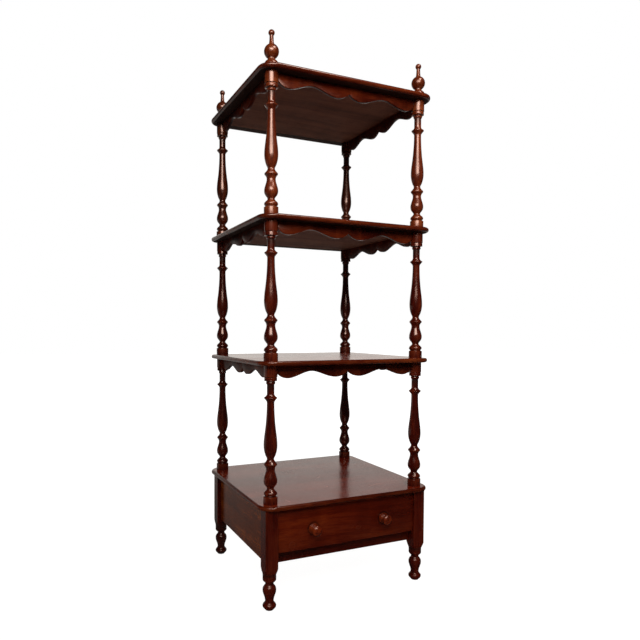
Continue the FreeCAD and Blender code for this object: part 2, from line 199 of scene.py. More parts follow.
def makeGrainGroup(shape):
    group, source, sink = newGroup("mahoganyGrain", [
        ("Vector", "NodeSocketVector", None),
        ("Deep", "NodeSocketColor", (0.03, 0.006, 0.004, 1)),
        ("Middle", "NodeSocketColor", (0.07, 0.016, 0.009, 1)),
        ("Light", "NodeSocketColor", (0.14, 0.04, 0.02, 1)),
        ("Band Scale", "NodeSocketFloat", 30.0),
        ("Streak Scale", "NodeSocketFloat", 420.0),
        ("Pore Depth", "NodeSocketFloat", 0.4),
    ], [("Color", "NodeSocketColor"), ("Height", "NodeSocketFloat")])
    vector = source.outputs["Vector"]
    drift = addNode(group, "ShaderNodeTexNoise", {
        "Vector": vector, "Scale": shape["driftScale"], "Detail": 1.0}).outputs["Color"]
    shift = addNode(group, "ShaderNodeVectorMath", {0: drift, 1: shape["drift"]}, operation="MULTIPLY")
    bent = addNode(group, "ShaderNodeVectorMath", {
        0: vector, 1: shift.outputs[0]}, operation="ADD").outputs[0]
    bands = stretchedNoise(group, bent, shape["bandStretch"], source.outputs["Band Scale"], 3.0)
    streaks = stretchedNoise(group, bent, shape["streakStretch"], source.outputs["Streak Scale"],
                             3.0, 0.65)
    specks = stretchedNoise(group, bent, shape["poreStretch"], shape["poreScale"], 1.0)
    mottle = stretchedNoise(group, vector, shape["mottleStretch"], shape["mottleScale"], 2.0)
    tone = calc(group, "MULTIPLY", streaks, shape["streakShare"])
    tone = calc(group, "MULTIPLY_ADD", bands, shape["bandShare"], tone)
    tone = calc(group, "MULTIPLY_ADD", calc(group, "SUBTRACT", mottle, 0.5), shape["mottleShare"], tone)
    lower = blendColour(group, rescale(group, tone, *shape["deepToMiddle"]),
                        source.outputs["Deep"], source.outputs["Middle"])
    whole = blendColour(group, rescale(group, tone, *shape["middleToLight"]),
                        lower, source.outputs["Light"])
    pores = rescale(group, specks, *shape["poreOpening"])
    dark = calc(group, "MULTIPLY", pores, source.outputs["Pore Depth"])
    group.links.new(blendColour(group, dark, whole, shape["poreColour"]), sink.inputs["Color"])
    group.links.new(calc(group, "MULTIPLY_ADD", pores, -1.0, streaks), sink.inputs["Height"])
    return group


# Use: edges rubbed lighter by hands and cloths, dark wax in the hollows, hairline scratches, and painted
# shade that darkens the colour towards the back

wear = {
    "rubbedEdges": (0.08, 0.8),  # edge value at which rubbing starts, and is full
    "patchScale": 38.0,
    "patches": (0.35, 0.62),
    "rubShare": 0.55,
    "rubLift": (1.5, 1.7, 1.7),
    "waxedHollows": (-0.04, -0.45),  # the same for wax, below zero
    "waxShare": 0.9,
    "waxColour": (0.008, 0.003, 0.002, 1),
    "waxDulling": 0.25,
    "cloudScale": 9.0,
    "cloudDulling": 0.16,
    "curlScale": 11.0,
    "hairline": 0.0035,  # width of a scratch, in the curl noise
    "scratchedScale": 17.0,
    "scratchedPlaces": (0.52, 0.62),
    "scratchDulling": 0.4,
    "scratchDepth": 0.8,
    "paintedShadeDepth": (-0.15, 0.15),  # metres from the middle, over which the painted shade darkens towards the back
}


def makeUseGroup(values):
    group, source, sink = newGroup("yearsOfUse", [
        ("Vector", "NodeSocketVector", None),
        ("Edge", "NodeSocketFloat", 0.0),
        ("Gloss", "NodeSocketFloat", 0.26),
        ("Scratches", "NodeSocketFloat", 0.3),
        ("Back Shade", "NodeSocketFloat", 1.0),
    ], [("Rubbed", "NodeSocketFloat"), ("Wax", "NodeSocketFloat"), ("Kept", "NodeSocketFloat"),
        ("Roughness", "NodeSocketFloat"), ("Height", "NodeSocketFloat")])
    vector, edge = source.outputs["Vector"], source.outputs["Edge"]
    patch = stretchedNoise(group, vector, (1, 1, 1), values["patchScale"], 3.0)
    cloud = stretchedNoise(group, vector, (1, 1, 1), values["cloudScale"], 2.0)
    rubbed = calc(group, "MULTIPLY", rescale(group, edge, *values["rubbedEdges"]),
                  rescale(group, patch, *values["patches"]))
    wax = rescale(group, edge, *values["waxedHollows"])
    curls = stretchedNoise(group, vector, (1, 1, 1), values["curlScale"], 1.0)
    distance = calc(group, "ABSOLUTE", calc(group, "SUBTRACT", curls, 0.5))
    hairline = rescale(group, distance, 0.0, values["hairline"], 1.0, 0.0)
    area = stretchedNoise(group, vector, (1, 1, 1), values["scratchedScale"], 2.0)
    here = rescale(group, area, *values["scratchedPlaces"])
    scratch = calc(group, "MULTIPLY", calc(group, "MULTIPLY", hairline, here),
                   source.outputs["Scratches"])
    rough = calc(group, "MULTIPLY_ADD", calc(group, "SUBTRACT", cloud, 0.5), values["cloudDulling"],
                 source.outputs["Gloss"])
    rough = calc(group, "MULTIPLY_ADD", wax, values["waxDulling"], rough)
    rough = calc(group, "MULTIPLY_ADD", scratch, values["scratchDulling"], rough, clamp=True)
    scored = calc(group, "MULTIPLY", scratch, -1.0)
    # Painted shade: the colour darkens towards the back, by up to one minus Back Shade.
    depth = addNode(group, "ShaderNodeSeparateXYZ", {0: vector}).outputs["Y"]
    backShadeShare = rescale(group, depth, *values["paintedShadeDepth"], 0.0,
                   calc(group, "SUBTRACT", 1.0, source.outputs["Back Shade"]))
    for label, value in (("Rubbed", rubbed), ("Wax", wax), ("Kept", backShadeShare),
                         ("Roughness", rough), ("Height", scored)):
        group.links.new(value, sink.inputs[label])
    return group


grainGroup = makeGrainGroup(grainShape)
useGroup = makeUseGroup(wear)
grainTurns = {"x": (0, 0, 0), "y": (0, 0, math.radians(-90)), "z": (0, math.radians(90), 0)}


def polishedWood(name, along, deep, middle, light, gloss, coat, coatGloss, bandScale=30.0,
                 streakScale=420.0, poreDepth=0.4, scratches=0.03, grainHeight=0.00003,
                 specular=0.4, shellac=(1.0, 1.0, 1.0), backShade=1.0):
    material = bpy.data.materials.new(name)
    material.use_nodes = True
    tree = material.node_tree
    shader = tree.nodes["Principled BSDF"]
    place = addNode(tree, "ShaderNodeTexCoord").outputs["Object"]
    turned = addNode(tree, "ShaderNodeMapping", {
        "Vector": place, "Rotation": grainTurns[along]}).outputs[0]
    grain = addNode(tree, "ShaderNodeGroup", {
        "Vector": turned, "Deep": (*deep, 1), "Middle": (*middle, 1), "Light": (*light, 1),
        "Band Scale": bandScale, "Streak Scale": streakScale, "Pore Depth": poreDepth,
    }, node_tree=grainGroup)
    edge = addNode(tree, "ShaderNodeAttribute", attribute_name="edge").outputs["Fac"]
    use = addNode(tree, "ShaderNodeGroup", {
        "Vector": place, "Edge": edge, "Gloss": gloss, "Scratches": scratches,
        "Back Shade": backShade}, node_tree=useGroup)
    # Painted shade: black is mixed in towards the back.
    backShaded = blendColour(tree, use.outputs["Kept"], grain.outputs["Color"], (0, 0, 0, 1))
    worn = [part * lift for part, lift in zip(light, wear["rubLift"])]
    rubbed = blendColour(tree, calc(tree, "MULTIPLY", use.outputs["Rubbed"], wear["rubShare"]),
                         backShaded, (*worn, 1))
    waxed = blendColour(tree, calc(tree, "MULTIPLY", use.outputs["Wax"], wear["waxShare"]),
                        rubbed, wear["waxColour"])
    height = calc(tree, "MULTIPLY_ADD", use.outputs["Height"], wear["scratchDepth"],
                  grain.outputs["Height"])
    bump = addNode(tree, "ShaderNodeBump", {"Height": height, "Distance": grainHeight, "Strength": 1.0})
    for socket, value in (("Base Color", waxed), ("Roughness", use.outputs["Roughness"]),
                          ("Normal", bump.outputs[0])):
        tree.links.new(value, shader.inputs[socket])
    for socket, value in (("Specular IOR Level", specular), ("Specular Tint", (*shellac, 1)),
                          ("Coat Weight", coat), ("Coat Roughness", coatGloss)):
        shader.inputs[socket].default_value = value
    return material


def darkenWhere(material, share, colour):
    base = material.node_tree.nodes["Principled BSDF"].inputs["Base Color"]
    darker = blendColour(material.node_tree, share, base.links[0].from_socket, colour)
    material.node_tree.links.new(darker, base)


mahogany = {
    "gloss": 0.24,
    "coat": 0.2,
    "coatGloss": 0.12,
    "specular": 0.5,
    "shellac": (1.0, 0.70, 0.60),
    "backShade": 0.6,
}
# The deep, middle and light colour of each stain.
stains = {
    "turned": ((0.024, 0.0016, 0.0008), (0.062, 0.0046, 0.0014), (0.140, 0.0220, 0.0060)),
    # The upper stain is lighter and redder than the turned one: painted light, for the stronger light on
    # the upper storey.
    "upper": ((0.048, 0.0056, 0.0014), (0.116, 0.0165, 0.0036), (0.210, 0.0460, 0.0110)),
    "finial": ((0.045, 0.0050, 0.0010), (0.110, 0.0170, 0.0028), (0.200, 0.0480, 0.0080)),
    "knob": ((0.050, 0.0060, 0.0008), (0.130, 0.0125, 0.0018), (0.230, 0.0380, 0.0060)),
    "dark": ((0.024, 0.0018, 0.0007), (0.067, 0.0040, 0.0010), (0.105, 0.0140, 0.0042)),
    # The boards' tops are stained lighter and redder than their noses: painted light, for the light from
    # above.
    "board": ((0.068, 0.0046, 0.0012), (0.150, 0.0116, 0.0026), (0.250, 0.0360, 0.0080)),
    "nose": ((0.032, 0.0030, 0.0009), (0.076, 0.0080, 0.0020), (0.150, 0.0290, 0.0065)),
    "apron": ((0.022, 0.0016, 0.0006), (0.052, 0.0046, 0.0010), (0.105, 0.0150, 0.0036)),
    "panel": ((0.062, 0.0095, 0.0008), (0.145, 0.0260, 0.0014), (0.260, 0.0750, 0.0055)),
    "drawer": ((0.056, 0.0038, 0.0006), (0.090, 0.0072, 0.0010), (0.165, 0.0230, 0.0040)),
    "bare": ((0.102, 0.041, 0.024), (0.171, 0.070, 0.042), (0.224, 0.099, 0.060)),
}


def mahoganyFor(name, along, stain, **changes):
    return polishedWood(name, along, *stains[stain], **{**mahogany, **changes})


finishes = {
    "board": mahoganyFor("mahoganyBoard", "x", "board", bandScale=22.0, scratches=0.25, coat=0.3,
                         backShade=0.9),
    "nose": mahoganyFor("mahoganyNose", "x", "nose", gloss=0.20, coat=0.4),
    "underside": polishedWood("mahoganyUnderside", "x", *stains["bare"], gloss=0.72, coat=0.0,
                              coatGloss=0.5, specular=0.15, bandScale=26.0, scratches=0.1,
                              grainHeight=0.00006),
    "turned": mahoganyFor("mahoganyTurned", "z", "turned", bandScale=60.0, gloss=0.22, coat=0.4,
                          coatGloss=0.08, specular=0.8, grainHeight=0.000012),
    "turnedUpperPaintedLight": mahoganyFor("mahoganyUpperTurnedPaintedLight", "z", "upper", bandScale=60.0, gloss=0.27, coat=0.3,
                               coatGloss=0.08, specular=0.9, grainHeight=0.000012, backShade=0.36),
    "apronX": mahoganyFor("mahoganyApronFront", "x", "apron", gloss=0.22, specular=0.35),
    "apronY": mahoganyFor("mahoganyApronSide", "y", "apron", gloss=0.34, specular=0.25, coat=0.05),
    "leg": mahoganyFor("mahoganyLeg", "z", "dark", bandScale=45.0),
    "sidePanel": mahoganyFor("mahoganySidePanel", "y", "panel", coatGloss=0.2, specular=0.35,
                             backShade=0.85),
    "caseX": mahoganyFor("mahoganyRail", "x", "dark"),
    "drawerFront": mahoganyFor("mahoganyDrawerFront", "x", "drawer", bandScale=34.0, specular=0.4),
    "knob": mahoganyFor("mahoganyKnob", "y", "knob", bandScale=90.0, specular=0.9),
    "finial": mahoganyFor("mahoganyFinial", "z", "finial", bandScale=60.0, gloss=0.26, specular=1.0,
                          grainHeight=0.000012),
}

bareWoods = {
    "oak": ((0.20, 0.12, 0.06), (0.36, 0.24, 0.13), (0.50, 0.36, 0.21)),
    "pine": ((0.24, 0.13, 0.055), (0.42, 0.26, 0.12), (0.55, 0.38, 0.20)),
}


def bareWood(kind, along):
    return polishedWood(f"{kind}Along{along.upper()}", along, *bareWoods[kind], gloss=0.68, coat=0.0,
                        coatGloss=0.5, bandScale=40.0, poreDepth=0.35, scratches=0.2,
                        grainHeight=0.00008)


steel = {
    "stainScale": 700.0,
    "stained": (0.45, 0.65),
    "metal": (0.32, 0.30, 0.28, 1),
    "stain": (0.13, 0.07, 0.04, 1),
    "roughness": (0.3, 0.65),
}


def makeSteel(values):
    material = bpy.data.materials.new("dulledScrewSteel")
    material.use_nodes = True
    tree = material.node_tree
    shader = tree.nodes["Principled BSDF"]
    place = addNode(tree, "ShaderNodeTexCoord").outputs["Object"]
    stain = stretchedNoise(tree, place, (1, 1, 1), values["stainScale"], 3.0)
    colour = blendColour(tree, rescale(tree, stain, *values["stained"]),
                         values["metal"], values["stain"])
    tree.links.new(colour, shader.inputs["Base Color"])
    tree.links.new(rescale(tree, stain, 0.3, 0.7, *values["roughness"]), shader.inputs["Roughness"])
    shader.inputs["Metallic"].default_value = 1.0
    return material


print("finishes mixed:", ", ".join(finishes))


# Turnings

turning = {
    "segments": 64,
    "step": 0.25,
    "tolerance": 0.02,
    "wornReach": 7,
    "fullWear": 0.35,  # millimetres proud of the worn outline
    "sharpAngle": 40,
}


def cubicAt(t, span, start, startSlope, end, endSlope):
    square, cube = t * t, t * t * t
    return ((2 * cube - 3 * square + 1) * start + (cube - 2 * square + t) * span * startSlope
            + (3 * square - 2 * cube) * end + (cube - square) * span * endSlope)


def cubicOutline(stations, step):
    # Each station is (height, radius, slope), with the slope above a sharp edge as a fourth number.
    points = [(stations[0][1], stations[0][0])]
    for below, above in zip(stations, stations[1:]):
        rise = above[0] - below[0]
        count = max(1, math.ceil((rise + abs(above[1] - below[1])) / step))
        for number in range(1, count + 1):
            t = number / count
            radius = cubicAt(t, rise, below[1], below[-1], above[1], above[2])
            points.append((radius, below[0] + rise * t))
    return points


def softened(points, reach):
    # Moves each point towards the average of its neighbours, as sanding and wax do to a sharp edge.
    softer = []
    for index, (radius, height) in enumerate(points):
        span = min(reach, index, len(points) - 1 - index)
        near = points[index - span:index + span + 1]
        weights = [span + 1 - abs(offset - span) for offset in range(len(near))]
        total = sum(weights)
        softer.append((sum(w * p[0] for w, p in zip(weights, near)) / total,
                       sum(w * p[1] for w, p in zip(weights, near)) / total))
    return softer


def thinned(points, tolerance):
    # Leaves out the points that lie on a straight run between those that are kept.
    keep = {0, len(points) - 1}
    spans = [(0, len(points) - 1)]
    while spans:
        first, last = spans.pop()
        start, end = Vector(points[first]), Vector(points[last])
        run = end - start
        worst, place = 0.0, None
        for index in range(first + 1, last):
            away = Vector(points[index]) - start
            distance = abs(run.x * away.y - run.y * away.x) / max(run.length, 1e-9)
            if distance > worst:
                worst, place = distance, index
        if place is not None and worst > tolerance:
            keep.add(place)
            spans += [(first, place), (place, last)]
    return sorted(keep)


def rawMesh(name, vertices, faces):
    mesh = bpy.data.meshes.new(name)
    mesh.from_pydata(vertices, [], faces)
    return mesh


def markEdges(mesh, values):
    mesh.attributes.new("edge", "FLOAT", "POINT").data.foreach_set("value", values)


def facesBetween(rings, count):
    # Four-sided faces from each ring of points to the next.
    faces = []
    for row in range(rings - 1):
        for number in range(count):
            beside = (number + 1) % count
            faces.append((row * count + number, row * count + beside,
                          (row + 1) * count + beside, (row + 1) * count + number))
    return faces


def turnedMesh(name, stations, segments=turning["segments"], step=turning["step"],
               tolerance=turning["tolerance"]):
    # Stations are in millimetres; the mesh is in metres, about Z, with an "edge" value on each point:
    # above zero on ridges, below zero in hollows.
    outline = softened(cubicOutline(stations, step), 1)
    worn = softened(outline, turning["wornReach"])
    rows = []
    for index in thinned(outline, tolerance):
        radius, height = outline[index]
        ahead = outline[min(index + 1, len(outline) - 1)]
        behind = outline[max(index - 1, 0)]
        run = Vector((ahead[0] - behind[0], ahead[1] - behind[1]))
        outward = Vector((run.y, -run.x)).normalized()
        proud = (Vector(outline[index]) - Vector(worn[index])).dot(outward)
        rows.append((radius * mm, height * mm, max(-1.0, min(1.0, proud / turning["fullWear"]))))
    vertices, edges = [], []
    for radius, height, edge in rows:
        for number in range(segments):
            angle = 2 * math.pi * number / segments
            vertices.append((radius * math.cos(angle), radius * math.sin(angle), height))
            edges.append(edge)
    faces = facesBetween(len(rows), segments)
    for row, order in ((0, -1), (len(rows) - 1, 1)):
        vertices.append((0, 0, rows[row][1]))
        edges.append(0.0)
        ring = [row * segments + number for number in range(segments)]
        for number in range(segments):
            pair = (ring[number], ring[(number + 1) % segments])
            faces.append((*pair[::order], len(vertices) - 1))
    mesh = rawMesh(name, vertices, faces)
    markEdges(mesh, edges)
    mesh.shade_smooth()
    mesh.set_sharp_from_angle(angle=math.radians(turning["sharpAngle"]))
    return mesh


# Copies on a level grid, one at each corner or one beside the other

def makeCopyTree():
    tree = bpy.data.node_groups.new("copiesOnGrid", "GeometryNodeTree")
    face = tree.interface
    face.new_socket("Geometry", in_out="OUTPUT", socket_type="NodeSocketGeometry")
    face.new_socket("Geometry", in_out="INPUT", socket_type="NodeSocketGeometry")
    for label, kind in (("Width", "NodeSocketFloat"), ("Depth", "NodeSocketFloat"),
                        ("Across", "NodeSocketInt"), ("Back", "NodeSocketInt"),
                        ("Place", "NodeSocketVector"), ("Turn Step", "NodeSocketFloat"),
                        ("Finish", "NodeSocketMaterial")):
        face.new_socket(label, in_out="INPUT", socket_type=kind)
    source = tree.nodes.new("NodeGroupInput")
    sink = tree.nodes.new("NodeGroupOutput")
    grid = addNode(tree, "GeometryNodeMeshGrid", {
        "Size X": source.outputs["Width"], "Size Y": source.outputs["Depth"],
        "Vertices X": source.outputs["Across"], "Vertices Y": source.outputs["Back"]})
    placed = addNode(tree, "GeometryNodeSetPosition", {
        "Geometry": grid.outputs["Mesh"], "Offset": source.outputs["Place"]})
    number = addNode(tree, "GeometryNodeInputIndex").outputs[0]
    turn = calc(tree, "MULTIPLY", number, source.outputs["Turn Step"])
    axes = addNode(tree, "ShaderNodeCombineXYZ", {"Z": turn}).outputs[0]
    copies = addNode(tree, "GeometryNodeInstanceOnPoints", {
        "Points": placed.outputs[0], "Instance": source.outputs["Geometry"], "Rotation": axes})
    real = addNode(tree, "GeometryNodeRealizeInstances", {"Geometry": copies.outputs[0]})
    finished = addNode(tree, "GeometryNodeSetMaterial", {
        "Geometry": real.outputs[0], "Material": source.outputs["Finish"]})
    tree.links.new(finished.outputs[0], sink.inputs[0])
    return tree


copyTree = makeCopyTree()


def plainObject(name, mesh):
    made = bpy.data.objects.new(name, mesh)
    bpy.context.scene.collection.objects.link(made)
    return made


def settled(made):
    # The object with its modifiers worked into a plain mesh.
    graph = bpy.context.evaluated_depsgraph_get()
    mesh = bpy.data.meshes.new_from_object(made.evaluated_get(graph))
    mesh.name = made.name
    made.modifiers.clear()
    made.data = mesh
    return made


def copiesOf(name, mesh, values):
    made = plainObject(name, mesh)
    modifier = made.modifiers.new("copies", "NODES")
    modifier.node_group = copyTree
    for item in copyTree.interface.items_tree:
        if item.in_out == "INPUT" and item.name in values:
            modifier[item.identifier] = values[item.name]
    return settled(made)


def atCorners(name, mesh, grid, height, finish, turnStep):
    return copiesOf(name, mesh, {
        "Width": grid["Width"], "Depth": grid["Depth"], "Across": 2, "Back": 2,
        "Place": (0.0, grid["middleY"], height), "Turn Step": turnStep, "Finish": finish})


def setFinish(made, finish):
    made.data.materials.clear()
    made.data.materials.append(finish)


def give(made, body, slot, *replaced):
    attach(made, body)
    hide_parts(*replaced)


# Posts

post = {
    "footRadius": 17.8,
    "collarRadius": 16.7,
    "ringRadius": 16.4,
    "collarHeight": 28.0,
    "swellHeight": 145.5,
    "waistDrop": 62.5,
    "turnStep": 1.9,  # so that no two copies show the same grain
}
postHeight = (boardTops[1] - boardTops[0] - boardThick) / mm


def postStations(size):
    foot, collar, ring = size["footRadius"], size["collarRadius"], size["ringRadius"]
    head = postHeight - size["collarHeight"]
    swell, waist = size["swellHeight"], head - size["waistDrop"]
    belowHead = [
        (0, foot, 0),
        (18.5, foot, 0, -2.4),
        (20.3, 14.0, 0.2),
        (25.5, 17.1, 0),
        (30.5, 15.4, -0.9),
        (38.5, 8.8, 0),
        (46, 13.2, 0.8),
        (58, 17.1, 0),
        (86, 11.0, 0),
        (96.8, ring, 1.1, 0),
        (99.8, ring, 0, -1.0),
        (111.5, 8.8, 0),
        (120, 12.3, 0.38),
        (swell, 17.0, 0),
        (swell + (waist - swell) * 0.45, 12.3, -0.10),
    ]
    fromHead = [
        (-size["waistDrop"], 9.3, 0),
        (-51.7, ring, 0.8, 0),
        (-50.3, ring, 0, -1.7),
        (-41, 9.2, 0),
        (-18.5, 9.2, 0, 1.0),
        (-14.6, 11.6, 0),
        (-11.8, 10.8, -0.3),
        (-10.5, 11.0, 0.4, 3.5),
        (-9, 16.25, 3.5, -0.5),
        (-6.5, 15.8, 0),
        (-1.5, 15.8, 0, -2.0),
        (-0.8, 14.8, 0),
        (0, 14.8, 0),
        (0.01, collar, 0),
        (size["collarHeight"], collar, 0),
    ]
    return belowHead + [(head + height, *rest) for height, *rest in fromHead]


postMesh = turnedMesh("post", postStations(post))
for storey, top in zip(storeyNames, boardTops):
    # The upper storey's posts take the lighter stain as painted light.
    finish = finishes["turnedUpperPaintedLight" if storey == "upper" else "turned"]
    made = atCorners(storey + "Posts", postMesh.copy(), postGrid, top, finish, post["turnStep"])
    give(made, frameBody, "mahogany_turned", *(f"{storey}_post_{corner}" for corner in cornerNames))
print("posts turned:", len(postMesh.polygons), "faces each")


# Finials

finial = {
    "ballRadius": 18.1,
    "neckHeight": 20.6,
    "neckRadius": 9.2,
    "stemRadius": 7.6,
    "stemWaist": 5.7,
    "stemLength": 22.0,
    "tipRadius": 7.7,
    "tipNeckRadius": 4.9,
    "tipEnd": 0.4,
    "ballPoints": 14,
    "step": 0.2,
    "tolerance": 0.012,
    "turnStep": 1.1,
}


def ballStations(centre, radius, fromRadius, toRadius, count):
    # Stations along a sphere, from the neck below it to the stem above.
    start = -math.acos(fromRadius / radius)
    end = math.acos(toRadius / radius)
    stations = []
    for number in range(count + 1):
        angle = start + (end - start) * number / count
        slope = -math.tan(angle)
        stations.append((centre + radius * math.sin(angle), radius * math.cos(angle), slope))
    return stations


def finialStations(size):
    ball, neck, stem, tip = size["ballRadius"], size["neckRadius"], size["stemRadius"], size["tipRadius"]
    ballCentre = size["neckHeight"] + math.sqrt(ball ** 2 - neck ** 2)
    stemFoot = ballCentre + math.sqrt(ball ** 2 - stem ** 2)
    tipNeck = stemFoot + size["stemLength"]
    tipCentre = tipNeck + math.sqrt(tip ** 2 - size["tipNeckRadius"] ** 2)
    stations = [
        (0, 17.3, 0.3),
        (4, 17.9, 0),
        (9, 16.6, -0.5, -0.3),
        (12.5, 14.5, -0.9),
        (16, 10.3, -1.1),
        (18, neck, 0),
        (size["neckHeight"] - 0.3, neck, 0),
    ]
    stations += ballStations(ballCentre, ball, neck, stem, size["ballPoints"])
    stations[-1] = (*stations[-1], -0.7)
    stations += [
        (stemFoot + size["stemLength"] * 0.25, size["stemWaist"], -0.1),
        (tipNeck, size["tipNeckRadius"], 0),
    ]
    tipStations = ballStations(tipCentre, tip, size["tipNeckRadius"], size["tipEnd"], size["ballPoints"])
    stations[-1] = (*stations[-1][:3], tipStations[0][2])
    return stations + tipStations[1:]


finialMesh = turnedMesh("finial", finialStations(finial), step=finial["step"],
                        tolerance=finial["tolerance"])
made = atCorners("finials", finialMesh, postGrid, boardTops[3], finishes["finial"], finial["turnStep"])
give(made, frameBody, "mahogany_turned", *(f"finial_{corner}" for corner in cornerNames))
print("finials turned")


# Boards

boardShape = {
    "corner": 40.0,
    "noseFlat": 0.6,
    "cornerSteps": 20,
    "noseSteps": 10,
    "noseRubAndSheen": 0.3,
    "overhangStain": 0.85,
    "stainColour": (0.010, 0.002, 0.001, 1),
}


def boardOutline(halfX, halfY, corner, inset, steps):
    points = []
    for signX, signY, start in ((1, 1, 0), (-1, 1, 90), (-1, -1, 180), (1, -1, 270)):
        for number in range(steps + 1):
            angle = math.radians(start + 90 * number / steps)
            radius = corner - inset
            points.append((signX * (halfX - corner) + radius * math.cos(angle),
                           signY * (halfY - corner) + radius * math.sin(angle)))
    return points


def boardMesh(name, low, high, shape):
    halfX, halfY = (high.x - low.x) / 2, (high.y - low.y) / 2
    centreX, centreY = (high.x + low.x) / 2, (high.y + low.y) / 2
    nose = (high.z - low.z - shape["noseFlat"] * mm) / 2
    rings, edges = [], []
    for side, rest in ((-1, low.z + nose), (1, high.z - nose)):
        for number in range(shape["noseSteps"] + 1):
            angle = math.pi / 2 * number / shape["noseSteps"]
            angle = angle - math.pi / 2 if side < 0 else angle
            inset = nose * (1 - math.cos(angle))
            rings.append((inset, rest + nose * math.sin(angle)))
            # The lighter line along the middle of the nose is partly worn finish and partly a painted
            # highlight.
            edges.append(shape["noseRubAndSheen"] * math.cos(angle) ** 2)
    vertices, values = [], []
    for (inset, height), edge in zip(rings, edges):
        outline = boardOutline(halfX, halfY, shape["corner"] * mm, inset, shape["cornerSteps"])
        vertices += [(centreX + x, centreY + y, height) for x, y in outline]
        values += [edge] * len(outline)
    count = len(outline)
    faces = facesBetween(len(rings), count)
    faces.append(tuple(reversed(range(count))))
    faces.append(tuple(range((len(rings) - 1) * count, len(rings) * count)))
    mesh = rawMesh(name, vertices, faces)
    markEdges(mesh, values)
    mesh.shade_smooth()
    for face in mesh.polygons[-2:]:
        face.use_smooth = False
    # The top faces take the lighter stain, which stands in for light from above.
    for finish in ("nose", "board", "underside"):
        mesh.materials.append(finishes[finish])
    mesh.polygons[-1].material_index = 1
    mesh.polygons[-2].material_index = 2
    return mesh


def stainBeyond(material, grid, shape):
    # Only the part between the aprons was left bare; the overhang round it is stained.
    tree = material.node_tree
    place = addNode(tree, "ShaderNodeTexCoord").outputs["Object"]
    parts = addNode(tree, "ShaderNodeSeparateXYZ", {0: place})
    fromMiddle = calc(tree, "ABSOLUTE", calc(tree, "SUBTRACT", parts.outputs["Y"], grid["middleY"]))
    beside = calc(tree, "GREATER_THAN", calc(tree, "ABSOLUTE", parts.outputs["X"]), grid["Width"] / 2)
    outside = calc(tree, "MAXIMUM", beside, calc(tree, "GREATER_THAN", fromMiddle, grid["Depth"] / 2))
    darkenWhere(material, calc(tree, "MULTIPLY", outside, shape["overhangStain"]), shape["stainColour"])


def pieceName(node):
    first, *others = node.split("_")
    return first + "".join(word.capitalize() for word in others)


stainBeyond(finishes["underside"], postGrid, boardShape)
for name in boardNames:
    made = plainObject(pieceName(name) + "Board", boardMesh(name, *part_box(name), boardShape))
    give(made, frameBody, "mahogany_board", name)
print("boards planed")


# Aprons

apronShape = {
    "cusp": 18.0,
    "cuspSlope": 0.95,
    "lobe": 32.5,
    "crest": 16.0,
    "end": 19.0,
    "endSlope": -1.1,
    "lobePlaces": (0.18, 0.86),
    "crestPlace": 0.53,
    "copeClearance": 0.3,
    "stepsPerCurve": 18,
    "arris": 0.7,
}


def apronDepths(shape, halfClear):
    # (distance from the middle, depth) along one half of the lower edge, millimetres. Each station is
    # (share of the half, depth, slope before it, slope after it).
    near, far = shape["lobePlaces"]
    stations = [
        (0.0, shape["cusp"], 0, shape["cuspSlope"]),
        (near, shape["lobe"], 0, 0),
        (shape["crestPlace"], shape["crest"], 0, 0),
        (far, shape["lobe"], 0, 0),
        (1.0, shape["end"], shape["endSlope"], 0),
    ]
    points = [(0.0, shape["cusp"])]
    for before, after in zip(stations, stations[1:]):
        start = before[0] * halfClear
        span = after[0] * halfClear - start
        for number in range(1, shape["stepsPerCurve"] + 1):
            t = number / shape["stepsPerCurve"]
            points.append((start + span * t, cubicAt(t, span, before[1], before[3], after[1], after[2])))
    return points


def apronMesh(name, span, thick, shape):
    # Along X about the middle, with its top edge at zero and its ends hollowed round the collars.
    reach = post["collarRadius"] + shape["copeClearance"]
    halfClear = span / 2 - post["collarRadius"]
    half = apronDepths(shape, halfClear)
    depths = [(-x, d) for x, d in reversed(half[1:])] + half
    across = (-thick / 2, 0.0, thick / 2)
    columns = []
    for y in across:
        limit = span / 2 - math.sqrt(reach ** 2 - y ** 2)
        columns.append([(max(-limit, min(limit, x)), d) for x, d in depths])
    vertices = []
    for column, y in zip(columns, across):
        vertices += [(x * mm, y * mm, -d * mm) for x, d in column]
        vertices += [(x * mm, y * mm, 0.0) for x, d in column]
    count = len(depths)
    layer = 2 * count
    back = 2 * layer
    faces = []
    for number in range(count - 1):
        faces.append((number, number + 1, count + number + 1, count + number))
        faces.append((back + number + 1, back + number,
                      back + count + number, back + count + number + 1))
        for start in (0, layer):
            faces.append((start + number + 1, start + number, start + layer + number,
                          start + layer + number + 1))
            top = start + count
            faces.append((top + number, top + number + 1,
                          top + layer + number + 1, top + layer + number))
    for start in (0, layer):
        faces.append((start, start + count, start + layer + count, start + layer))
        end = start + count - 1
        faces.append((end + count, end, end + layer, end + layer + count))
    return rawMesh(name, vertices, faces)


arrisBevel = {
    "segments": 3,
    "angle": 40,
    "mergeWithin": 0.00001,
    "rub": 0.55,
}


def mergeAndPoint(mesh):
    shell = bmesh.new()
    shell.from_mesh(mesh)
    bmesh.ops.remove_doubles(shell, verts=shell.verts, dist=arrisBevel["mergeWithin"])
    bmesh.ops.recalc_face_normals(shell, faces=shell.faces)
    shell.to_mesh(mesh)
    shell.free()


def breakArrises(made, width):
    # Softens every sharp edge and marks it as rubbed; the small faces are the bevel's.
    mergeAndPoint(made.data)
    bevel = made.modifiers.new("arris", "BEVEL")
    bevel.width = width * mm
    bevel.segments = arrisBevel["segments"]
    bevel.limit_method = "ANGLE"
    bevel.angle_limit = math.radians(arrisBevel["angle"])
    bevel.harden_normals = True
    mesh = settled(made).data
    mesh.shade_smooth()
    rub = [0.0] * len(mesh.vertices)
    areas = sorted(face.area for face in mesh.polygons)
    for face in mesh.polygons:
        if face.area <= areas[len(areas) // 2]:
            for corner in face.vertices:
                rub[corner] = arrisBevel["rub"]
    markEdges(mesh, rub)


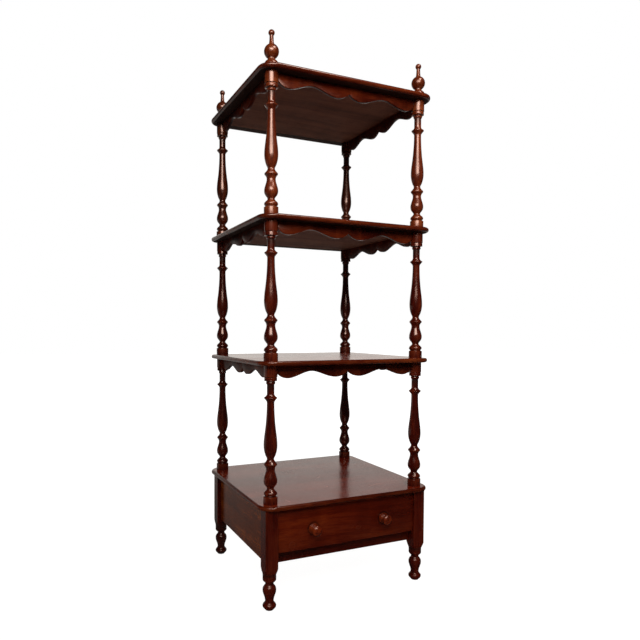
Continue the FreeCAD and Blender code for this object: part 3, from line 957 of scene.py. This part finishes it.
for shelf in boardNames[1:]:
    for side in ("front", "left", "right"):
        node = f"{shelf}_{side}_apron"
        low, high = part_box(node)
        centre = (low + high) / 2
        front = side == "front"
        span = postGrid["Width" if front else "Depth"] / mm
        thick = (high.y - low.y if front else high.x - low.x) / mm
        name = shelf.split("_")[0] + side.capitalize() + "Apron"
        made = plainObject(name, apronMesh(name, span, thick, apronShape))
        turn = Matrix.Identity(4) if front else Matrix.Rotation(math.pi / 2, 4, "Z")
        made.data.transform(Matrix.Translation((centre.x, centre.y, high.z)) @ turn)
        breakArrises(made, apronShape["arris"])
        setFinish(made, finishes["apronX" if front else "apronY"])
        give(made, frameBody, "mahogany_apron", node)
print("aprons sawn")


# Legs

leg = {
    "side": 34.0,
    "arris": 1.2,
    "footHeight": 88.0,
    "footRadius": 16.9,
    "shoulder": 20.0,
    "segments": 128,
    "step": 0.3,
    "sharpAngle": 35,
    "arrisRub": 0.5,
}
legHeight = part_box("leg_front_left")[1].z / mm


def legStations(size):
    overCorner = size["side"] / 2 * math.sqrt(2) + 1  # past the block's corners, for the square to cut
    return [
        (0, 10.0, 0.5),
        (4.9, 14.4, 0.9),
        (10.8, 17.0, 0),
        (16, 14.1, -1.0),
        (22.5, 10.8, 0),
        (34.7, 13.2, 0.36),
        (49, 16.9, 0),
        (57.5, 14.9, -0.65),
        (65.5, 10.1, 0),
        (75, size["footRadius"], 0.2, 0),
        (size["footHeight"], size["footRadius"], 0, 0.45),
        (size["footHeight"] + size["shoulder"], overCorner, 0.33, 0),
        (legHeight, overCorner, 0),
    ]


def squareReach(angle, size):
    # Distance from the axis to a square with rounded arrises, at an angle.
    half, arris = size["side"] / 2, size["arris"]
    fold = abs((angle + math.pi / 4) % (math.pi / 2) - math.pi / 4)
    flat = half / math.cos(fold)
    if half * math.tan(fold) <= half - arris:
        return flat
    inner = (half - arris) * math.sqrt(2)
    off = math.pi / 4 - fold
    return inner * math.cos(off) + math.sqrt(max(0.0, arris ** 2 - (inner * math.sin(off)) ** 2))


def legMesh(name, size):
    mesh = turnedMesh(name, legStations(size), segments=size["segments"], step=size["step"])
    edges = [item.value for item in mesh.attributes["edge"].data]
    for vertex in mesh.vertices:
        radius = math.hypot(vertex.co.x, vertex.co.y)
        if vertex.co.z < size["footHeight"] * mm or radius < 1e-6:
            continue
        angle = math.atan2(vertex.co.y, vertex.co.x)
        reach = squareReach(angle, size) * mm
        if reach < radius:
            vertex.co.x *= reach / radius
            vertex.co.y *= reach / radius
            onArris = abs(reach / mm - size["side"] / math.sqrt(2)) < size["arris"]
            edges[vertex.index] = size["arrisRub"] if onArris else 0.0
    mesh.attributes["edge"].data.foreach_set("value", edges)
    mesh.set_sharp_from_angle(angle=math.radians(size["sharpAngle"]))
    return mesh


made = atCorners("legs", legMesh("leg", leg), legGrid, 0.0, finishes["leg"], math.pi / 2)
give(made, frameBody, "mahogany_leg", *(f"leg_{corner}" for corner in cornerNames))
print("legs turned and squared")


# Drawer front and knobs

drawerFront = {"arris": 1.2, "arrisRub": 0.6, "rubWithin": 0.9}
knob = {
    "spacing": 208.0,
    "height": 190.0,
    "length": 28.0,
    "headRadius": 13.0,
    "baseRadius": 13.6,
    "beadRadius": 11.2,
    "neckRadius": 7.4,
    "dome": 8.0,
    # The dark ring round each knob is partly old wax and partly painted shadow.
    "shadowAndWaxReach": 20.0,
    "waxShare": 0.75,
    "waxColour": (0.006, 0.002, 0.001, 1),
    "shadowAndWaxRagged": 0.008,
    "shadowAndWaxScale": 160.0,
    "step": 0.15,
    "tolerance": 0.008,
}


def boxMesh(name, low, high):
    shell = bmesh.new()
    bmesh.ops.create_cube(shell, size=1.0)
    mesh = bpy.data.meshes.new(name)
    shell.to_mesh(mesh)
    shell.free()
    mesh.transform(Matrix.Translation((low + high) / 2) @ Matrix.Diagonal((*(high - low), 1)))
    return mesh


def markBoxArrises(made, low, high, size):
    reach = size["arris"] * mm * size["rubWithin"]
    values = []
    for vertex in made.data.vertices:
        near = sum(min(vertex.co[axis] - low[axis], high[axis] - vertex.co[axis]) < reach
                   for axis in range(3))
        values.append(size["arrisRub"] if near > 1 else 0.0)
    made.data.attributes["edge"].data.foreach_set("value", values)


def paintShadowAndWaxRound(material, size):
    # Painted shadow round each knob, partly old wax that gathers on the front where a cloth does not
    # reach: a dark ragged ring.
    tree = material.node_tree
    place = addNode(tree, "ShaderNodeTexCoord").outputs["Object"]
    parts = addNode(tree, "ShaderNodeSeparateXYZ", {0: place})
    across = calc(tree, "SUBTRACT", calc(tree, "ABSOLUTE", parts.outputs["X"]), size["spacing"] * mm / 2)
    above = calc(tree, "SUBTRACT", parts.outputs["Z"], size["height"] * mm)
    flat = addNode(tree, "ShaderNodeCombineXYZ", {"X": across, "Y": above}).outputs[0]
    distance = addNode(tree, "ShaderNodeVectorMath", {0: flat}, operation="LENGTH").outputs["Value"]
    ragged = calc(tree, "SUBTRACT", stretchedNoise(tree, place, (1, 1, 1), size["shadowAndWaxScale"], 2.0), 0.5)
    distance = calc(tree, "MULTIPLY_ADD", ragged, size["shadowAndWaxRagged"], distance)
    share = rescale(tree, distance, size["baseRadius"] * mm, size["shadowAndWaxReach"] * mm,
                    size["waxShare"], 0.0)
    darkenWhere(material, share, size["waxColour"])


paintShadowAndWaxRound(finishes["drawerFront"], knob)
low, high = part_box("drawer_front")
made = plainObject("drawerFrontBoard", boxMesh("drawerFrontBoard", low, high))
breakArrises(made, drawerFront["arris"])
markBoxArrises(made, low, high, drawerFront)
setFinish(made, finishes["drawerFront"])
give(made, drawerBody, "mahogany_case", "drawer_front")


def knobStations(size):
    rim = size["length"] - size["dome"]
    head = size["headRadius"]
    return [
        (0, size["baseRadius"], 0),
        (1.8, size["baseRadius"], 0, -1.6),
        (3.6, 10.2, 0, 0.9),
        (5.4, size["beadRadius"], 0),
        (12.5, size["neckRadius"], 0),
        (rim, head, 0.9),
        (rim + 2.2, head, -0.6),
        (rim + size["dome"] * 0.75, head * 0.66, -1.8),
        (size["length"], 2.4, -4.5),
    ]


knobMesh = turnedMesh("knob", knobStations(knob), step=knob["step"], tolerance=knob["tolerance"])
knobMesh.transform(Matrix.Rotation(math.pi / 2, 4, "X"))
made = copiesOf("knobs", knobMesh, {
    "Width": knob["spacing"] * mm, "Depth": 0.0, "Across": 2, "Back": 1,
    "Place": (0.0, low.y, knob["height"] * mm), "Turn Step": 0.0, "Finish": finishes["knob"]})
give(made, drawerBody, "mahogany_turned", "left_knob", "right_knob")
print("drawer front and knobs made")


# Pieces that keep their construction shape

keptPieces = (
    (finishes["sidePanel"], ("left_side_panel", "right_side_panel")),
    (finishes["caseX"], ("back_panel", "front_rail")),
    (bareWood("oak", "x"), ("drawer_back", "drawer_bottom")),
    (bareWood("oak", "y"), ("drawer_left_side", "drawer_right_side")),
    (bareWood("pine", "x"), ("drawer_stops",)),
    (bareWood("pine", "y"), [f"{side}_drawer_{strip}" for side in ("left", "right")
                             for strip in ("runner", "guide", "kicker")]),
    (makeSteel(steel), ("top_screws", "drawer_bottom_screws")),
)
for finish, names in keptPieces:
    for name in names:
        for slot in nodes[name].material_slots:
            slot.material = finish
print("finish given to", sum(len(names) for finish, names in keptPieces), "construction pieces")


# Studio

studio = {
    "floorSize": 30.0,
    "floorColour": (0.80, 0.80, 0.80, 1),
    "floorRoughness": 0.9,
    "floorGlow": 0.78,  # share of plain white over the shadow, under the piece
    "floorWhite": 1.24,
    "shadowReach": (0.8, 2.5),  # metres from the middle, over which the shadow ends
    "mirrorNear": -0.2,
    "mirrorFar": 1.6,
    "mirrorTop": 0.27,
    "roomLight": 0.03,  # even light from all round
    "roomDark": 0.012,  # what polish shows away from the backdrop
    "backdrop": (1.08, 1.03, 0.965, 1),
    "backdropTurn": 15.0,
    "backdropEdge": (0.80, 0.92),
    "backdropFade": 0.4,
    "backdropTop": 0.4,
}

lamps = {
    "keyBox": {"place": (-0.80, -1.95, 2.0), "size": (1.7, 0.9), "aim": (0, 0, 1.3),
               "power": 17.0, "spread": 100},
    "leftBox": {"place": (-1.35, -1.15, 1.9), "size": (0.35, 0.7), "aim": (0, 0, 1.2),
                "power": 0.8, "spread": 110},
    "topBox": {"place": (0.3, -1.0, 2.35), "size": (0.6, 0.4), "aim": (0, 0, 1.0),
               "power": 5.0, "spread": 120},
    "rightCard": {"place": (1.6, -1.6, 1.2), "size": (0.8, 0.9), "aim": (0, 0, 0.7),
                  "power": 1.4, "spread": 120},
    "leftCard": {"place": (-1.5, -0.1, 0.5), "size": (0.8, 0.5), "aim": (0, 0, 0.15),
                 "power": 0.7, "spread": 80},
    "backCard": {"place": (0.7, 2.3, 1.5), "size": (1.4, 1.2), "aim": (0, 0, 0.7),
                 "power": 9.0, "spread": 120},
    "sideCard": {"place": (2.3, 0.35, 1.0), "size": (1.2, 1.4), "aim": (0, 0, 0.7),
                 "power": 5.0, "spread": 110},
}
# The cards fill in the shadows without showing in the polish.
cards = ("rightCard", "leftCard", "backCard", "sideCard")
lampColour = (1.0, 0.88, 0.79)


def seenOutright(tree, path):
    # 1 where the camera sees the surface itself, and not in a reflection.
    return calc(tree, "MAXIMUM", path.outputs["Is Camera Ray"], path.outputs["Is Transmission Ray"])


def makeFloor(size):
    # White to the camera but for a faint shadow; in polish it is dark near the piece and pale behind.
    half = size["floorSize"] / 2
    corners = [(-half, -half, 0), (half, -half, 0), (half, half, 0), (-half, half, 0)]
    mesh = rawMesh("studioFloor", corners, [(0, 1, 2, 3)])
    floor = plainObject("studioFloor", mesh)
    material = bpy.data.materials.new("paleFloor")
    material.use_nodes = True
    tree = material.node_tree
    shader = tree.nodes["Principled BSDF"]
    shader.inputs["Base Color"].default_value = size["floorColour"]
    shader.inputs["Roughness"].default_value = size["floorRoughness"]
    shader.inputs["Specular IOR Level"].default_value = 0.0
    path = addNode(tree, "ShaderNodeLightPath")
    place = addNode(tree, "ShaderNodeTexCoord").outputs["Object"]
    distance = addNode(tree, "ShaderNodeVectorMath", {0: place}, operation="LENGTH").outputs["Value"]
    glow = rescale(tree, distance, *size["shadowReach"], size["floorGlow"], 1.0)
    white = addNode(tree, "ShaderNodeEmission", {"Strength": size["floorWhite"]})
    share = calc(tree, "MULTIPLY", seenOutright(tree, path), glow)
    plain = addNode(tree, "ShaderNodeMixShader", {0: share, 1: shader.outputs[0], 2: white.outputs[0]})
    away = addNode(tree, "ShaderNodeSeparateXYZ", {0: place}).outputs["Y"]
    strength = rescale(tree, away, size["mirrorNear"], size["mirrorFar"],
                       size["roomDark"], size["mirrorTop"])
    polish = addNode(tree, "ShaderNodeEmission", {"Color": size["backdrop"], "Strength": strength})
    whole = addNode(tree, "ShaderNodeMixShader", {
        0: path.outputs["Is Glossy Ray"], 1: plain.outputs[0], 2: polish.outputs[0]})
    tree.links.new(whole.outputs[0], tree.nodes["Material Output"].inputs["Surface"])
    mesh.materials.append(material)
    floor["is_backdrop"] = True


def makeRoom(size):
    # White to the camera, an even dim light on the piece, and in polish a white backdrop behind it.
    world = bpy.data.worlds.new("studioRoom")
    bpy.context.scene.world = world
    world.use_nodes = True
    world.cycles.sampling_method = "NONE"
    tree = world.node_tree
    direction = addNode(tree, "ShaderNodeTexCoord").outputs["Generated"]
    turn = math.radians(size["backdropTurn"])
    towards = (math.sin(turn), math.cos(turn), 0.0)
    facing = addNode(tree, "ShaderNodeVectorMath", {
        0: direction, 1: towards}, operation="DOT_PRODUCT").outputs["Value"]
    rise = addNode(tree, "ShaderNodeSeparateXYZ", {0: direction}).outputs["Z"]
    behind = rescale(tree, facing, *size["backdropEdge"])
    level = rescale(tree, rise, 0.0, size["backdropFade"], 1.0, size["backdropTop"])
    share = calc(tree, "MULTIPLY", behind, level)
    dark, even = ((size[key], size[key], size[key], 1) for key in ("roomDark", "roomLight"))
    mirrored = blendColour(tree, share, dark, size["backdrop"])
    path = addNode(tree, "ShaderNodeLightPath")
    unseen = blendColour(tree, path.outputs["Is Glossy Ray"], even, mirrored)
    seen = blendColour(tree, seenOutright(tree, path), unseen, (1, 1, 1, 1))
    tree.links.new(seen, tree.nodes["Background"].inputs["Color"])


def makeLamp(name, lamp):
    data = bpy.data.lights.new(name, "AREA")
    data.shape = "RECTANGLE"
    data.size, data.size_y = lamp["size"]
    data.energy = lamp["power"]
    data.spread = math.radians(lamp["spread"])
    data.color = lampColour
    made = bpy.data.objects.new(name, data)
    aim = Vector(lamp["aim"]) - Vector(lamp["place"])
    made.rotation_euler = aim.to_track_quat("-Z", "Y").to_euler()
    made.location = lamp["place"]
    made.visible_glossy = name not in cards
    bpy.context.scene.collection.objects.link(made)


makeFloor(studio)
makeRoom(studio)
for name, lamp in lamps.items():
    makeLamp(name, lamp)
print("studio lit")

low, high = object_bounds()
print("visual box", tuple(high - low))
